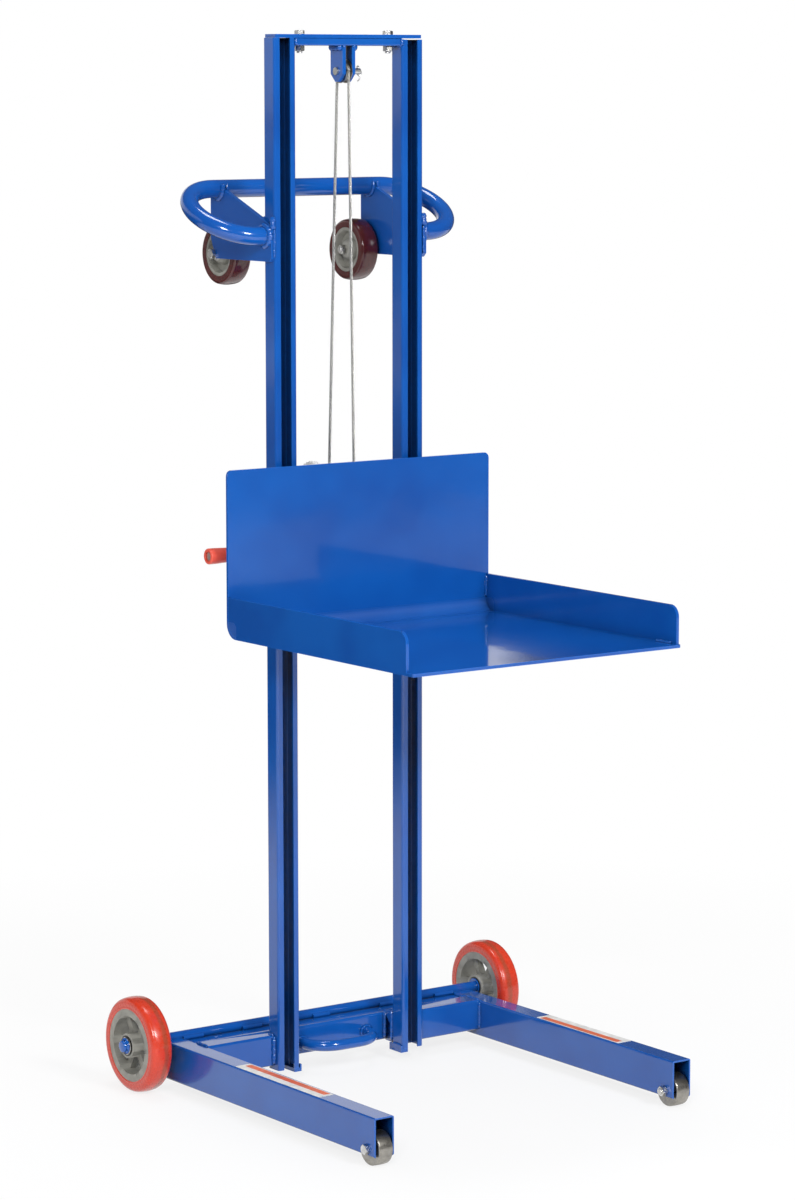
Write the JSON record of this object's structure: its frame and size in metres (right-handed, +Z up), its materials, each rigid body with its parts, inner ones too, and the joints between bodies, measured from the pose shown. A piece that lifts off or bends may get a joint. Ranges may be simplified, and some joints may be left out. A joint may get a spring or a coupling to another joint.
{
  "type": "light load lift",
  "caption": "Hand-cranked lift: tray with a back plate on a channel mast, wheeled base with two legs, wire rope winch, bent tube push handle and upper wheels.",
  "frame": {"origin": "on the floor, at the middle of the lift's width and of its length", "axes": "+Z up along the mast, -Y ahead along the legs and the tray, +X to the right seen from the front"},
  "size_m": [0.7546, 0.734, 1.6702],
  "materials": {
    "blue_paint": "gloss blue enamel on welded steel",
    "zinc_steel": "zinc plated, slightly dull",
    "bare_steel": "turned bare steel, lightly worn",
    "wire_rope": "galvanised strands",
    "red_tread": "moulded red polyurethane, satin",
    "maroon_tread": "moulded maroon polyurethane, glossy",
    "grey_core": "moulded grey wheel core",
    "orange_grip": "smooth moulded grip"
  },
  "bodies": {
    "mast": {"left_leg": "blue_paint", "right_leg": "blue_paint", "rear_cross_tube": "blue_paint", "left_front_tube": "blue_paint", "right_front_tube": "blue_paint", "foot_loop": "blue_paint", "left_upright": "blue_paint", "right_upright": "blue_paint", "channel_stops": "blue_paint", "top_cross_tube": "blue_paint", "top_cap_plate": "blue_paint", "cap_bolts": "zinc_steel", "sheave_ears": "blue_paint", "sheave_pin": "zinc_steel", "cotter_pin": "zinc_steel", "lifting_rope": "wire_rope", "rope_front_run": "wire_rope", "push_handle": "blue_paint", "left_wheel_bracket": "blue_paint", "right_wheel_bracket": "blue_paint", "wheel_bolts": "zinc_steel", "rear_axle": "blue_paint", "axle_welds": "blue_paint", "axle_retainers": "zinc_steel", "winch_mount_plate": "blue_paint", "winch_frame": "zinc_steel", "winch_bolts": "zinc_steel", "winch_pins": "zinc_steel", "shaft_support": "blue_paint"},
    "carriage": {"platform_back_plate": "blue_paint", "platform_deck": "blue_paint", "carriage_plates": "blue_paint", "carriage_crossbars": "blue_paint", "guide_pins": "bare_steel", "rope_anchor_bolt": "zinc_steel", "rope_end": "wire_rope"},
    "upper_guides": {"upper_guide_rollers": "bare_steel"},
    "lower_guides": {"lower_guide_rollers": "bare_steel"},
    "sheave_wheel": {"sheave": "bare_steel"},
    "drum": {"winch_drum": "zinc_steel", "ring_gear": "bare_steel", "rope_winding": "wire_rope"},
    "crank": {"pinion_shaft": "bare_steel", "ratchet_wheel": "zinc_steel", "crank_arm": "zinc_steel", "crank_fasteners": "zinc_steel"},
    "grip": {"crank_grip": "orange_grip"},
    "ratchet_pawl": {"pawl": "zinc_steel"},
    "left_rear_wheel": {"left_rear_tyre": "red_tread", "left_rear_hub": "grey_core", "left_rear_bearing": "bare_steel"},
    "right_rear_wheel": {"right_rear_tyre": "red_tread", "right_rear_hub": "grey_core", "right_rear_bearing": "bare_steel"},
    "left_upper_wheel": {"left_upper_tyre": "maroon_tread", "left_upper_hub": "grey_core"},
    "right_upper_wheel": {"right_upper_tyre": "maroon_tread", "right_upper_hub": "grey_core"},
    "left_roller": {"left_front_roller": "bare_steel"},
    "right_roller": {"right_front_roller": "bare_steel"}
  },
  "joints": [
    {"name": "carriage_slide", "type": "slide", "parent": "mast", "child": "carriage", "axis": [0, 0, 1], "range_m": [-0.685, 0.735], "deforming": ["rope_front_run"]},
    {"name": "upper_guide_roll", "type": "hinge", "parent": "carriage", "child": "upper_guides", "pos_m": [0, 0.165, 0.8987], "axis": [1, 0, 0], "continuous": true},
    {"name": "lower_guide_roll", "type": "hinge", "parent": "carriage", "child": "lower_guides", "pos_m": [0, 0.167, 0.7587], "axis": [1, 0, 0], "continuous": true},
    {"name": "sheave_turn", "type": "hinge", "parent": "mast", "child": "sheave_wheel", "pos_m": [0, 0.169, 1.607], "axis": [1, 0, 0], "continuous": true},
    {"name": "drum_turn", "type": "hinge", "parent": "mast", "child": "drum", "pos_m": [0, 0.239, 0.9405], "axis": [1, 0, 0], "continuous": true},
    {"name": "crank_turn", "type": "hinge", "parent": "mast", "child": "crank", "pos_m": [0, 0.25867, 0.88647], "axis": [1, 0, 0], "continuous": true},
    {"name": "grip_spin", "type": "hinge", "parent": "crank", "child": "grip", "pos_m": [-0.2, 0.16254, 0.8589], "axis": [1, 0, 0], "continuous": true},
    {"name": "pawl_lift", "type": "hinge", "parent": "mast", "child": "ratchet_pawl", "pos_m": [-0.0235, 0.23167, 0.90847], "axis": [1, 0, 0], "range_deg": [0, 35]},
    {"name": "left_rear_spin", "type": "hinge", "parent": "mast", "child": "left_rear_wheel", "pos_m": [-0.345, 0.2494, 0.0762], "axis": [1, 0, 0], "continuous": true},
    {"name": "right_rear_spin", "type": "hinge", "parent": "mast", "child": "right_rear_wheel", "pos_m": [0.345, 0.2494, 0.0762], "axis": [1, 0, 0], "continuous": true},
    {"name": "left_upper_spin", "type": "hinge", "parent": "mast", "child": "left_upper_wheel", "pos_m": [-0.1237, 0.317, 1.32], "axis": [1, 0, 0], "continuous": true},
    {"name": "right_upper_spin", "type": "hinge", "parent": "mast", "child": "right_upper_wheel", "pos_m": [0.1237, 0.317, 1.32], "axis": [1, 0, 0], "continuous": true},
    {"name": "left_roller_spin", "type": "hinge", "parent": "mast", "child": "left_roller", "pos_m": [-0.28575, -0.318, 0.026], "axis": [1, 0, 0], "continuous": true},
    {"name": "right_roller_spin", "type": "hinge", "parent": "mast", "child": "right_roller", "pos_m": [0.28575, -0.318, 0.026], "axis": [1, 0, 0], "continuous": true}
  ],
  "couplings": [
    {"joint": "drum_turn", "follows": "carriage_slide", "rad_per_m": 36.496},
    {"joint": "crank_turn", "follows": "carriage_slide", "rad_per_m": -131.39},
    {"joint": "sheave_turn", "follows": "carriage_slide", "rad_per_m": -64.935},
    {"joint": "upper_guide_roll", "follows": "carriage_slide", "rad_per_m": 90.909},
    {"joint": "lower_guide_roll", "follows": "carriage_slide", "rad_per_m": -90.909}
  ]
}
